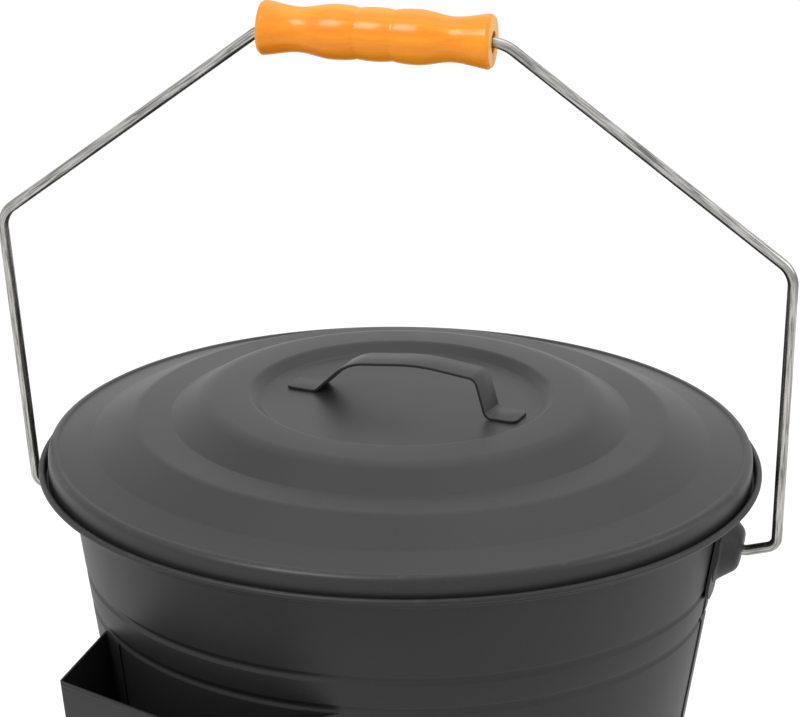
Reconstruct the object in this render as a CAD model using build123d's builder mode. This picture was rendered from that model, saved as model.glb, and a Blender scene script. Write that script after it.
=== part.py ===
"""Ash bucket with a lift-off lid, a swinging bail with a wooden grip, and a shovel pocket.

Millimetres, +Z up. The origin is the centre of the base on the floor, +X runs along the bail's
pivot axis and -Y is the front.
"""

from build123d import *
import os
from math import atan, cos, degrees, radians, sin, tan

os.makedirs("parts", exist_ok=True)

# Bucket body: a tapered sheet wall with a rolled rim at the top
rim_height = 270.0
rim_radius = 150.0
body_sheet = 0.6
rim_wire_radius = 0.75
rim_wire_gap = 0.05
wall_inset = 12.3
wall_taper = 0.157
seat_drop = 2.6
seat_inset = 0.2
wall_knee_radius = 2.4
seat_corner_radius = 1.0

# Two swaged grooves run round the wall below the rim
groove_drops = (41.0, 55.0)
groove_depth = 0.8
groove_half_width = 2.1
groove_half_floor = 0.5
groove_round = 1.2

# Lap seam of the wall, under the right ear
lap_start_deg = -2.6
lap_arc_deg = 5.2
lap_below_seat = 6.0
lap_above_chime = 1.0

# Bottom plate, hooked round the lower edge of the wall
floor_height = 7.0
chime_height = 4.0
chime_gap = 0.1
chime_bend_radius = 0.9
floor_bend_radius = 2.5

# Ears: curved plates with a pressed boss that holds the bail's end
ear_sheet = 1.2
ear_standoff = 0.7
ear_half_width = 15.0
ear_top_drop = 8.0
ear_bottom_drop = 45.5
ear_corner_radius = 9.0
ear_trim = 1.5
boss_height = 8.4
boss_face_radius = 8.0
boss_foot_radius = 14.0
boss_foot_rise = 1.2
boss_flare_radius = 16.0
boss_shoulder_round = 5.0
boss_foot_round = 2.5
weld_pad_radius = 1.5
weld_pad_side = 8.0
weld_pad_rises = (14.0, -12.2)

# Bail: one bent wire with an upset head at each end
bail_wire_diameter = 4.5
bail_pivot_drop = 25.5
bail_lean_deg = 10.0
bail_leg_out = 14.08
bail_foot_out = 2.0
bail_foot_rise = 3.5
bail_shoulder_out = 5.1
bail_shoulder_rise = 130.8
bail_top_rise = 222.7
bail_foot_round = 5.0
bail_foot_bend = 6.0
bail_shoulder_round = 11.0
bail_top_round = 14.0
bail_hole_gap = 0.35
bail_head_radius = 4.2
bail_head_thickness = 1.8
bail_head_play = 1.0
bail_grip_play = 1.4

# Turned wooden grip on the bail: end flares, necks, long lobes and a short middle bead
grip_length = 93.5
grip_lobe_radius = 11.0
grip_neck_radius = 9.0
grip_bead_radius = 10.7
grip_groove_radius = 10.15
grip_groove_x = 7.1
grip_lobe_x = 16.8
grip_neck_inset = 15.75
grip_flare_inset = 1.45
grip_end_radius = 10.0
grip_end_round = 1.2
grip_groove_slope = 0.25
grip_flare_slope = 0.1
grip_bore_gap = 2.0
grip_slide = 2.3

# Lid: pressed in rings, with a skirt that stands on the seat inside the rim
lid_sheet = 0.6
lid_play = 1.0
lid_skirt_height = 12.3
lid_ridge_width = 3.6
lid_ridge_depth = 0.6
lid_brim_width = 13.8
lid_brim_rise = 3.7
lid_cone_width = 17.8
lid_cone_rise = 8.6
lid_step_width = 15.2
lid_step_rise = 0.6
lid_dome_width = 14.2
lid_dome_rise = 8.6
lid_ring_width = 18.3
lid_ring_rise = 0.9
lid_dish_wall = 5.0
lid_dish_depth = 3.8
lid_shoulder_round = 3.0
lid_ridge_round = 1.0
lid_brim_round = 5.0
lid_cone_round = 7.0
lid_step_round = 1.2
lid_dome_round = 16.0
lid_ring_round = 3.0
lid_dish_round = 3.0

# Strap handle on the lid, turned a little against the bail
strap_width = 14.2
strap_sheet = 1.2
strap_turn_deg = -11.2
strap_left_gap = 8.2
strap_left_foot_length = 13.0
strap_left_run = 14.3
strap_left_height = 15.3
strap_crown_x = 10.0
strap_height = 19.5
strap_right_gap = 3.5
strap_right_foot_length = 12.8
strap_right_run = 4.9
strap_right_height = 17.2
strap_rounds = (3.0, 20.0, 60.0, 4.5, 2.5)
strap_corner_radius = 3.0

# Shovel pocket at the left of the front, with weld flanges inside it, along the wall
pocket_turn_deg = -117.1
pocket_drop = 56.5
pocket_height = 120.0
pocket_depth = 32.5
pocket_half_front = 42.2
pocket_splay_deg = 23.0
pocket_sheet = 0.8
pocket_corner_round = 1.6
pocket_hem_radius = 0.9
pocket_flange = 10.0
pocket_wall_gap = 0.05
pocket_floor_rise = 3.0
pocket_floor_gap = 0.3
pocket_reach_in = 70.0
pocket_cut_past = 1.0

# Derived sizes
bead_radius = rim_wire_radius + rim_wire_gap + body_sheet
bead_z = rim_height - bead_radius
seat_z = bead_z - seat_drop
seat_radius = rim_radius - 2 * bead_radius - seat_inset
wall_angle_deg = degrees(atan(wall_taper))
wall_slant = 1 / cos(radians(wall_angle_deg))
pivot_z = bead_z - bail_pivot_drop
wire_radius = bail_wire_diameter / 2


def wall_radius(z):
    """Outside radius of the plain tapered wall at a height."""
    return rim_radius - wall_inset - wall_taper * (bead_z - z)


def wall_outline(z_low, z_high):
    """Points and corner radii of the wall's outside, from low to high, with its grooves."""
    points = [(wall_radius(z_low), z_low)]
    rounds = []
    for drop in sorted(groove_drops, reverse=True):
        z = bead_z - drop
        for rise, depth in (
            (-groove_half_width, 0.0),
            (-groove_half_floor, groove_depth),
            (groove_half_floor, groove_depth),
            (groove_half_width, 0.0),
        ):
            points.append((wall_radius(z + rise) - depth, z + rise))
            rounds.append(groove_round)
    points.append((wall_radius(z_high), z_high))
    return points, rounds


def section(azimuth_deg):
    """Upright plane through the axis at an azimuth: local X is the radius, local Y is the height."""
    a = radians(azimuth_deg)
    return Plane(origin=(0, 0, 0), x_dir=(cos(a), sin(a), 0), z_dir=(sin(a), -cos(a), 0))


# Bucket wall with its seat for the lid, the rolled rim and the lap seam
seat_under_z = seat_z - body_sheet
wall_points, wall_rounds = wall_outline(chime_bend_radius, seat_under_z)
seat_points = [(seat_radius + body_sheet, seat_under_z), (seat_radius + body_sheet, bead_z)]
lap_points, lap_rounds = wall_outline(chime_height + lap_above_chime, seat_z - lap_below_seat)
with BuildPart() as bucket_wall:
    with BuildSketch(Plane.XZ):
        with BuildLine():
            FilletPolyline(
                *wall_points,
                *seat_points,
                radius=[*wall_rounds, wall_knee_radius, seat_corner_radius],
            )
            offset(amount=body_sheet, side=Side.LEFT)
        make_face()
        with Locations((rim_radius - bead_radius, bead_z)):
            Circle(bead_radius)
            Circle(bead_radius - body_sheet, mode=Mode.SUBTRACT)
    revolve(axis=Axis.Z)
    with BuildSketch(section(lap_start_deg)):
        with BuildLine():
            FilletPolyline(*lap_points, radius=lap_rounds)
            offset(amount=body_sheet, side=Side.RIGHT)
        make_face()
    revolve(axis=Axis.Z, revolution_arc=lap_arc_deg)
bucket_wall.part.label = "bucket_wall"
export_step(bucket_wall.part, "parts/bucket_wall.step")

# Wire inside the rolled rim
with BuildPart() as rim_wire:
    with BuildSketch(Plane.XZ):
        with Locations((rim_radius - bead_radius, bead_z)):
            Circle(rim_wire_radius)
    revolve(axis=Axis.Z)
rim_wire.part.label = "rim_wire"
export_step(rim_wire.part, "parts/rim_wire.step")

# Bottom plate: raised floor, skirt down inside the wall, hook under it and up outside
skirt_inset = body_sheet * wall_slant + chime_gap + body_sheet
hook_outset = chime_gap + body_sheet
with BuildPart() as bottom_plate:
    with BuildSketch(Plane.XZ):
        with BuildLine():
            FilletPolyline(
                (0, floor_height - body_sheet),
                (wall_radius(floor_height) - skirt_inset, floor_height - body_sheet),
                (wall_radius(0) - skirt_inset, 0),
                (wall_radius(0) + hook_outset, 0),
                (wall_radius(chime_height) + hook_outset, chime_height),
                radius=[floor_bend_radius, chime_bend_radius, chime_bend_radius],
            )
            offset(amount=body_sheet, side=Side.LEFT)
        make_face()
    revolve(axis=Axis.Z)
bottom_plate.part.label = "bottom_plate"
export_step(bottom_plate.part, "parts/bottom_plate.step")

# Ears: the boss stands square to the wall, and its face is centred on the pivot axis
ear_low_z = bead_z - ear_bottom_drop
ear_high_z = bead_z - ear_top_drop
ear_plate_inner = ear_standoff * wall_slant
ear_plate_outer = (ear_standoff + ear_sheet) * wall_slant
boss_face_x = wall_radius(pivot_z) + ear_plate_outer + boss_height
boss_section = Plane(
    origin=(boss_face_x, 0, pivot_z),
    x_dir=(sin(radians(wall_angle_deg)), 0, cos(radians(wall_angle_deg))),
    z_dir=(0, 1, 0),
)
boss_out = Vector(cos(radians(wall_angle_deg)), 0, -sin(radians(wall_angle_deg)))
boss_axis = Axis((boss_face_x, 0, pivot_z), boss_out)
ear_arc_deg = 2 * degrees(atan((ear_half_width + ear_trim) / wall_radius(ear_low_z)))


def boss_outline(inset, foot, back):
    """Points and corner radii of half the boss, from its face towards the wall, set in by inset."""
    points = [
        (0, -inset),
        (boss_face_radius - inset, -inset),
        (boss_foot_radius - inset, boss_foot_rise - boss_height),
        (foot, -boss_height),
        (foot, -back),
        (0, -back),
    ]
    return points, [boss_shoulder_round - inset, boss_foot_round, 0, 0]


def wall_core(gap):
    """Points that enclose all that lies inside the plain wall, out to a gap beyond its outside."""
    return [(0, 0), (wall_radius(0) + gap, 0), (wall_radius(seat_z) + gap, seat_z), (0, seat_z)]


with BuildSketch(Plane.YZ) as ear_outline:
    with Locations((0, (ear_low_z + ear_high_z) / 2)):
        Rectangle(2 * ear_half_width, ear_high_z - ear_low_z)
    fillet(ear_outline.vertices().group_by(Axis.Y)[0], radius=ear_corner_radius)

with BuildPart() as ear_boss:
    outer_points, outer_rounds = boss_outline(0, boss_flare_radius, boss_height + ear_sheet)
    with BuildSketch(boss_section):
        with BuildLine():
            FilletPolyline(*outer_points, radius=outer_rounds)
            Line(outer_points[-1], outer_points[0])
        make_face()
    revolve(axis=boss_axis)
    extrude(ear_outline.sketch, amount=rim_radius, mode=Mode.INTERSECT)

weld_pads = [(side * weld_pad_side, pivot_z + rise) for side in (-1, 1) for rise in weld_pad_rises]
with BuildPart() as ear_right:
    with BuildSketch(section(-ear_arc_deg / 2)):
        with BuildLine():
            Polyline(
                (wall_radius(ear_low_z) + ear_plate_inner, ear_low_z),
                (wall_radius(ear_low_z) + ear_plate_outer, ear_low_z),
                (wall_radius(ear_high_z) + ear_plate_outer, ear_high_z),
                (wall_radius(ear_high_z) + ear_plate_inner, ear_high_z),
                close=True,
            )
        make_face()
    revolve(axis=Axis.Z, revolution_arc=ear_arc_deg)
    extrude(ear_outline.sketch, amount=rim_radius, mode=Mode.INTERSECT)
    add(ear_boss.part)
    with BuildSketch(Plane.YZ.offset(wall_radius(ear_low_z) / 2)):
        with Locations(*weld_pads):
            Circle(weld_pad_radius)
    extrude(until=Until.NEXT)
    inner_points, inner_rounds = boss_outline(ear_sheet, boss_foot_radius - ear_sheet, 2 * boss_height)
    with BuildSketch(boss_section):
        with BuildLine():
            FilletPolyline(*inner_points, radius=inner_rounds)
            Line(inner_points[-1], inner_points[0])
        make_face()
    revolve(axis=boss_axis, mode=Mode.SUBTRACT)
    with BuildSketch(Plane.YZ):
        with Locations((0, pivot_z)):
            Circle(wire_radius + bail_hole_gap)
    extrude(amount=rim_radius, mode=Mode.SUBTRACT)
    with BuildSketch(Plane.XZ):
        with BuildLine():
            Polyline(*wall_core(0.0), close=True)
        make_face()
    revolve(axis=Axis.Z, mode=Mode.SUBTRACT)
ear_right.part.label = "ear_right"
export_step(ear_right.part, "parts/ear_right.step")

with BuildPart() as ear_left:
    mirror(ear_right.part, about=Plane.YZ)
ear_left.part.label = "ear_left"
export_step(ear_left.part, "parts/ear_left.step")

# Bail: local X is the pivot axis and local Y runs up the bail, which leans to the front at rest
lean = radians(bail_lean_deg)
bail_plane = Plane(origin=(0, 0, pivot_z), x_dir=(1, 0, 0), z_dir=(0, -cos(lean), -sin(lean)))
bail_head_x = boss_face_x - ear_sheet - bail_head_play
bail_end_x = bail_head_x - bail_head_thickness
bail_leg_x = boss_face_x + bail_leg_out
bail_right = [
    (grip_length / 2 + bail_grip_play, bail_top_rise),
    (bail_leg_x + bail_shoulder_out, bail_shoulder_rise),
    (bail_leg_x, bail_foot_rise),
    (boss_face_x + bail_foot_out, 0),
    (bail_end_x, 0),
]
bail_left = [(-x, y) for x, y in reversed(bail_right)]
bail_rounds = [bail_top_round, bail_shoulder_round, bail_foot_round, bail_foot_bend]
with BuildPart() as bail_wire:
    with BuildLine(bail_plane) as bail_path:
        FilletPolyline(*bail_left, *bail_right, radius=[*reversed(bail_rounds), *bail_rounds])
    with BuildSketch(Plane(origin=bail_path.line @ 0, z_dir=bail_path.line % 0)):
        Circle(wire_radius)
    sweep(path=bail_path.line)
    for side in (-1, 1):
        with BuildSketch(Plane.YZ.offset(side * bail_end_x)):
            with Locations((0, pivot_z)):
                Circle(bail_head_radius)
        extrude(amount=side * bail_head_thickness)
bail_wire.part.label = "bail_wire"
export_step(bail_wire.part, "parts/bail_wire.step")

# Grip: turned on the bail's top run
grip_plane = Plane(
    origin=(-grip_slide, -bail_top_rise * sin(lean), pivot_z + bail_top_rise * cos(lean)),
    x_dir=bail_plane.x_dir,
    z_dir=bail_plane.z_dir,
)
grip_bore_radius = wire_radius + grip_bore_gap
grip_flare_x = grip_length / 2 - grip_flare_inset
grip_neck_x = grip_length / 2 - grip_neck_inset
with BuildPart() as bail_grip:
    with BuildSketch(grip_plane):
        with BuildLine():
            ThreePointArc(
                (-grip_groove_x, grip_groove_radius),
                (0, grip_bead_radius),
                (grip_groove_x, grip_groove_radius),
            )
            for side in (-1, 1):
                Spline(
                    (side * grip_groove_x, grip_groove_radius),
                    (side * grip_lobe_x, grip_lobe_radius),
                    (side * grip_neck_x, grip_neck_radius),
                    (side * grip_flare_x, grip_lobe_radius),
                    tangents=[(side, grip_groove_slope), (side, grip_flare_slope)],
                )
                RadiusArc(
                    (side * grip_flare_x, grip_lobe_radius),
                    (side * grip_length / 2, grip_end_radius),
                    side * grip_end_round,
                )
                Line((side * grip_length / 2, grip_end_radius), (side * grip_length / 2, grip_bore_radius))
            Line((-grip_length / 2, grip_bore_radius), (grip_length / 2, grip_bore_radius))
        make_face()
    revolve(axis=Axis(grip_plane.origin, grip_plane.x_dir))
bail_grip.part.label = "bail_grip"
export_step(bail_grip.part, "parts/bail_grip.step")

# Lid: the outside of the pressing, from the skirt's edge up and in to the middle
lid_radius = seat_radius - lid_play
lid_steps = [
    (0, 0),
    (0, lid_skirt_height),
    (-lid_ridge_width, 0),
    (-lid_ridge_depth, -lid_ridge_depth),
    (-lid_brim_width, lid_brim_rise),
    (-lid_cone_width, lid_cone_rise),
    (-lid_step_width, lid_step_rise),
    (-lid_dome_width, lid_dome_rise),
    (-lid_ring_width, lid_ring_rise),
    (-lid_dish_wall, -lid_dish_depth),
]
lid_points = []
lid_r, lid_z = lid_radius, seat_z
for step_r, step_z in lid_steps:
    lid_r += step_r
    lid_z += step_z
    lid_points.append((lid_r, lid_z))
dish_radius, dish_z = lid_points[-1]
lid_points.append((0, dish_z))
lid_rounds = [
    lid_shoulder_round,
    lid_ridge_round,
    lid_ridge_round,
    lid_brim_round,
    lid_cone_round,
    lid_step_round,
    lid_dome_round,
    lid_ring_round,
    lid_dish_round,
]
with BuildPart() as lid_shell:
    with BuildSketch(Plane.XZ):
        with BuildLine():
            FilletPolyline(*lid_points, radius=lid_rounds)
            offset(amount=lid_sheet, side=Side.LEFT)
        make_face()
    revolve(axis=Axis.Z)
lid_shell.part.label = "lid_shell"
export_step(lid_shell.part, "parts/lid_shell.step")

# Strap handle: the path is its upper face, from the left foot to the right foot
foot_z = dish_z + strap_sheet
strap_left_end = dish_radius - strap_left_gap
strap_left_foot = strap_left_end - strap_left_foot_length
strap_right_end = dish_radius - strap_right_gap
strap_right_foot = strap_right_end - strap_right_foot_length
with BuildPart() as lid_handle:
    with BuildSketch(section(strap_turn_deg)):
        with BuildLine():
            FilletPolyline(
                (-strap_left_end, foot_z),
                (-strap_left_foot, foot_z),
                (strap_left_run - strap_left_foot, dish_z + strap_left_height),
                (strap_crown_x, dish_z + strap_height),
                (strap_right_foot - strap_right_run, dish_z + strap_right_height),
                (strap_right_foot, foot_z),
                (strap_right_end, foot_z),
                radius=strap_rounds,
            )
            offset(amount=strap_sheet, side=Side.RIGHT)
        make_face()
    extrude(amount=strap_width / 2, both=True)
    foot_corners = lid_handle.edges().filter_by(Axis.Z)
    fillet(foot_corners, radius=strap_corner_radius)
lid_handle.part.label = "lid_handle"
export_step(lid_handle.part, "parts/lid_handle.step")

# Pocket: a splayed plan, carried down along a line parallel to the wall
pocket_top_z = bead_z - pocket_drop
pocket_front = wall_radius(pocket_top_z) + pocket_depth
splay = radians(pocket_splay_deg)
turn = radians(pocket_turn_deg)
pocket_down = Vector(-wall_taper * cos(turn), -wall_taper * sin(turn), -1)


def pocket_plane(drop):
    """Level plane at a drop below the pocket's top: local X points out through its front."""
    return Plane(
        origin=(-wall_taper * drop * cos(turn), -wall_taper * drop * sin(turn), pocket_top_z - drop),
        x_dir=(cos(turn), sin(turn), 0),
        z_dir=(0, 0, 1),
    )


def pocket_half(x, inset=0.0):
    """Half width of the pocket at a distance from the axis, with its sides set in by inset."""
    return pocket_half_front - inset / cos(splay) + (pocket_front - x) * tan(splay)


def pocket_plan(inset):
    """Corners of the pocket's plan, set in by inset at the front and the sides."""
    front = pocket_front - inset
    back = pocket_front - pocket_reach_in
    return [
        (front, -pocket_half(front, inset)),
        (front, pocket_half(front, inset)),
        (back, pocket_half(back, inset)),
        (back, -pocket_half(back, inset)),
    ]


pocket_low_z = pocket_top_z - pocket_height
flange_near = wall_radius(pocket_top_z) - 2 * pocket_flange
inner_round = pocket_corner_round - pocket_sheet
pocket_floor_back = pocket_sheet * wall_slant + pocket_floor_gap
with BuildPart() as pocket_flanges:
    with BuildSketch(Plane.XZ):
        with BuildLine():
            Polyline(
                (wall_radius(pocket_low_z), pocket_low_z),
                (wall_radius(pocket_low_z) + pocket_sheet * wall_slant, pocket_low_z),
                (wall_radius(pocket_top_z) + pocket_sheet * wall_slant, pocket_top_z),
                (wall_radius(pocket_top_z), pocket_top_z),
                close=True,
            )
        make_face()
    revolve(axis=Axis.Z)
    with BuildSketch(pocket_plane(0)):
        for side in (-1, 1):
            with BuildLine():
                Polyline(
                    (pocket_front, side * pocket_half(pocket_front, pocket_sheet / 2)),
                    (pocket_front, side * pocket_half(pocket_front, pocket_flange)),
                    (flange_near, side * pocket_half(flange_near, pocket_flange)),
                    (flange_near, side * pocket_half(flange_near, pocket_sheet / 2)),
                    close=True,
                )
            make_face()
    extrude(amount=pocket_height * pocket_down.length, dir=pocket_down, mode=Mode.INTERSECT)

with BuildPart() as pocket_shell:
    with BuildSketch(pocket_plane(0)):
        with BuildLine():
            FilletPolyline(*pocket_plan(0.0), radius=[pocket_corner_round] * 2 + [0] * 2, close=True)
        make_face()
    extrude(amount=pocket_height * pocket_down.length, dir=pocket_down)
    with BuildSketch(section(pocket_turn_deg)):
        with Locations((pocket_front, pocket_top_z - pocket_hem_radius)):
            Circle(pocket_hem_radius)
    extrude(amount=pocket_half_front - pocket_corner_round, both=True)
    pocket_cut = (pocket_height + 2 * pocket_cut_past) * pocket_down.length
    with BuildSketch(pocket_plane(-pocket_cut_past)):
        with BuildLine():
            FilletPolyline(*pocket_plan(pocket_sheet), radius=[inner_round] * 2 + [0] * 2, close=True)
        make_face()
    extrude(amount=pocket_cut, dir=pocket_down, mode=Mode.SUBTRACT)
    add(pocket_flanges.part)
    with BuildSketch(Plane.XZ):
        with BuildLine():
            Polyline(*wall_core(pocket_wall_gap), close=True)
        make_face()
    revolve(axis=Axis.Z, mode=Mode.SUBTRACT)
pocket_shell.part.label = "pocket_shell"
export_step(pocket_shell.part, "parts/pocket_shell.step")

# Pocket floor: a plate between the pocket's walls, a little above their lower edge
with BuildPart() as pocket_floor:
    with BuildSketch(pocket_plane(pocket_height - pocket_floor_rise)):
        with BuildLine():
            FilletPolyline(
                *pocket_plan(pocket_sheet),
                radius=[inner_round + pocket_floor_gap] * 2 + [0] * 2,
                close=True,
            )
        make_face()
    extrude(amount=pocket_sheet * pocket_down.length, dir=-pocket_down)
    with BuildSketch(Plane.XZ):
        with BuildLine():
            Polyline(*wall_core(pocket_floor_back), close=True)
        make_face()
    revolve(axis=Axis.Z, mode=Mode.SUBTRACT)
pocket_floor.part.label = "pocket_floor"
export_step(pocket_floor.part, "parts/pocket_floor.step")
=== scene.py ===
"""Ash bucket: ringed lid, rolled rim, wire bail with a turned grip, and a shovel pocket."""

import logging
import math
from dataclasses import dataclass, field
from enum import Enum
from typing import Any, Sequence

import bmesh
import bpy
from bmesh.types import BMEdge, BMesh, BMFace, BMVert
from mathutils import Matrix, Vector
from mathutils.geometry import interpolate_bezier


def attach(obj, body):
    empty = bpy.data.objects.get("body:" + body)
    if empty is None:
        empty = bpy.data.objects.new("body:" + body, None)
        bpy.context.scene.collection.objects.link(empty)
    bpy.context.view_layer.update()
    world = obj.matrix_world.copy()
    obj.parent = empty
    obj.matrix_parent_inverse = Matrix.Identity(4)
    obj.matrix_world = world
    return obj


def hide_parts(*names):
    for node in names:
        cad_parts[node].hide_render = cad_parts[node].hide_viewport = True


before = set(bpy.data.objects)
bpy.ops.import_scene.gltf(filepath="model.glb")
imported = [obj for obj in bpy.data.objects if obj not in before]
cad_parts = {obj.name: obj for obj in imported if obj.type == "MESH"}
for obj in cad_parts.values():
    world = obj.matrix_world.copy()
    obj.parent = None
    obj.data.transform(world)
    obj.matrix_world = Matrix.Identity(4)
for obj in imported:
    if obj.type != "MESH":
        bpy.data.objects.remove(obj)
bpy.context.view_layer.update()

log = logging.getLogger("ash_bucket")

MM = 0.001
MERGE_DISTANCE = 0.001 * MM
FULL_TURN = 2 * math.pi
LATHE_STEPS = 256
ARC_STEP_DEG = 7.0
LEAST_ARC_STEPS = 2
BROKEN_EDGE_STEPS = 2
SHARP_DEG = 32.0
EVEN_ROUND = 0.5
KEEP_MATERIAL = -1

Colour = tuple[float, float, float]
Point2 = tuple[float, float]


class Body(Enum):
    """The bodies that move together."""

    BUCKET = "bucket"
    BAIL = "bail"
    GRIP = "grip"
    LID = "lid"


class Slot(Enum):
    """Names of the part's finishes; nothing in this script uses them."""

    BODY_COAT = "body_coat"
    LID_COAT = "lid_coat"
    BAIL_STEEL = "bail_steel"
    BARE_WIRE = "bare_wire"
    GRIP_WOOD = "grip_wood"


def chain(bm: BMesh, points: Sequence[Point2]) -> list[BMVert]:
    """Adds a line of joined points in the XZ plane.

    Args:
        bm: The mesh to add to.
        points: Distance along X and height of each point.

    Returns:
        The new vertices, in order.
    """
    verts = [bm.verts.new((x, 0.0, z)) for x, z in points]
    for first, second in zip(verts, verts[1:]):
        bm.edges.new((first, second))
    return verts


def bevel(
    bm: BMesh, geom: Sequence[Any], width: float, steps: int, affect: str, clamp: bool = False
) -> None:
    """Cuts an even round.

    Args:
        bm: The mesh to cut.
        geom: The vertices or edges that are rounded.
        width: How far the round reaches from each.
        steps: Straight parts along the round.
        affect: What geom holds, VERTICES or EDGES.
        clamp: Whether the width gives way where rounds would meet.
    """
    bmesh.ops.bevel(
        bm,
        geom=geom,
        offset=width,
        offset_type="OFFSET",
        segments=steps,
        profile=EVEN_ROUND,
        affect=affect,
        clamp_overlap=clamp,
        material=KEEP_MATERIAL,
    )


def round_corners(bm: BMesh, corners: Sequence[BMVert], radii: Sequence[float]) -> None:
    """Rounds the inner corners of a line, each with its own radius.

    Args:
        bm: The mesh that holds the line.
        corners: All vertices of the line, in order.
        radii: One radius for each inner corner, where 0 keeps it sharp.
    """
    jobs = []
    for before, corner, after, radius in zip(corners, corners[1:], corners[2:], radii):
        turn = (corner.co - before.co).angle(after.co - corner.co)
        jobs.append((corner, radius * math.tan(turn / 2), turn))
    for corner, setback, turn in jobs:
        if setback > 0:
            steps = max(LEAST_ARC_STEPS, math.ceil(math.degrees(turn) / ARC_STEP_DEG))
            bevel(bm, [corner], setback, steps, "VERTICES")


def spin_outline(bm: BMesh, angle: float = FULL_TURN, steps: int = LATHE_STEPS) -> None:
    """Turns what the mesh holds about the Z axis and closes its seam and poles.

    Args:
        bm: A mesh that holds an outline in the XZ plane.
        angle: How far to turn it.
        steps: Faces along the turn.
    """
    bmesh.ops.spin(
        bm,
        geom=bm.verts[:] + bm.edges[:],
        cent=(0, 0, 0),
        axis=(0, 0, 1),
        dvec=(0, 0, 0),
        angle=angle,
        steps=steps,
        use_merge=angle == FULL_TURN,
        use_normal_flip=False,
        use_duplicate=False,
    )
    bmesh.ops.remove_doubles(bm, verts=bm.verts[:], dist=MERGE_DISTANCE)
    bmesh.ops.recalc_face_normals(bm, faces=bm.faces[:])


def face_away(bm: BMesh, face: BMFace, direction: Vector) -> None:
    """Turns the whole sheet so that one of its faces looks along a direction."""
    if face.normal.dot(direction) < 0:
        bmesh.ops.reverse_faces(bm, faces=bm.faces[:])


def skirt_outwards(bm: BMesh) -> None:
    """Turns a spun sheet so that its lowest face looks away from the axis."""
    lowest = min(bm.faces, key=lambda f: f.calc_center_median().z)
    face_away(bm, lowest, lowest.calc_center_median() * Vector((1, 1, 0)))


def break_edges(bm: BMesh, width: float, least_deg: float = 60.0) -> None:
    """Takes the sharpness off the sheet's cut edges.

    Args:
        bm: A closed mesh.
        width: Width of the broken edge.
        least_deg: Edges that turn by less than this stay as they are.
    """
    limit = math.radians(least_deg)
    sharp = [e for e in bm.edges if e.is_manifold and e.calc_face_angle(0.0) > limit]
    bevel(bm, sharp, width, BROKEN_EDGE_STEPS, "EDGES", clamp=True)


def to_piece(bm: BMesh, name: str, smooth: bool = True) -> bpy.types.Object:
    """Makes a finished piece of a mesh and frees it.

    Args:
        bm: The mesh, in its place in the frame.
        name: The piece's name.
        smooth: Whether it shades smoothly between its sharp edges.

    Returns:
        The new object, at the origin.
    """
    mesh = bpy.data.meshes.new(name)
    bm.to_mesh(mesh)
    bm.free()
    if smooth:
        mesh.shade_smooth()
        mesh.set_sharp_from_angle(angle=math.radians(SHARP_DEG))
    piece = bpy.data.objects.new(name, mesh)
    bpy.context.scene.collection.objects.link(piece)
    return piece


def paint(piece: bpy.types.Object, material: bpy.types.Material) -> None:
    """Gives a piece one material in all its slots."""
    if not piece.data.materials:
        piece.data.materials.append(material)
    for index in range(len(piece.data.materials)):
        piece.data.materials[index] = material


def settle(
    piece: bpy.types.Object,
    body: Body,
    material: bpy.types.Material,
    stands_for: Sequence[str],
) -> None:
    """Paints a new piece, and says what it moves with and what it stands for.

    Args:
        piece: The new piece.
        body: The body that it rides on.
        material: What it is painted with.
        stands_for: The frame's nodes that it is shown instead of.
    """
    paint(piece, material)
    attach(piece, body.value)
    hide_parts(*stands_for)
    log.info("made %s: %d faces, rides on %s", piece.name, len(piece.data.polygons), body.value)


def dress_node(name: str, material: bpy.types.Material) -> None:
    """Paints one of the frame's own nodes."""
    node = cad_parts[name]
    paint(node, material)
    log.info("dressed %s with %s", name, material.name)


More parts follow.
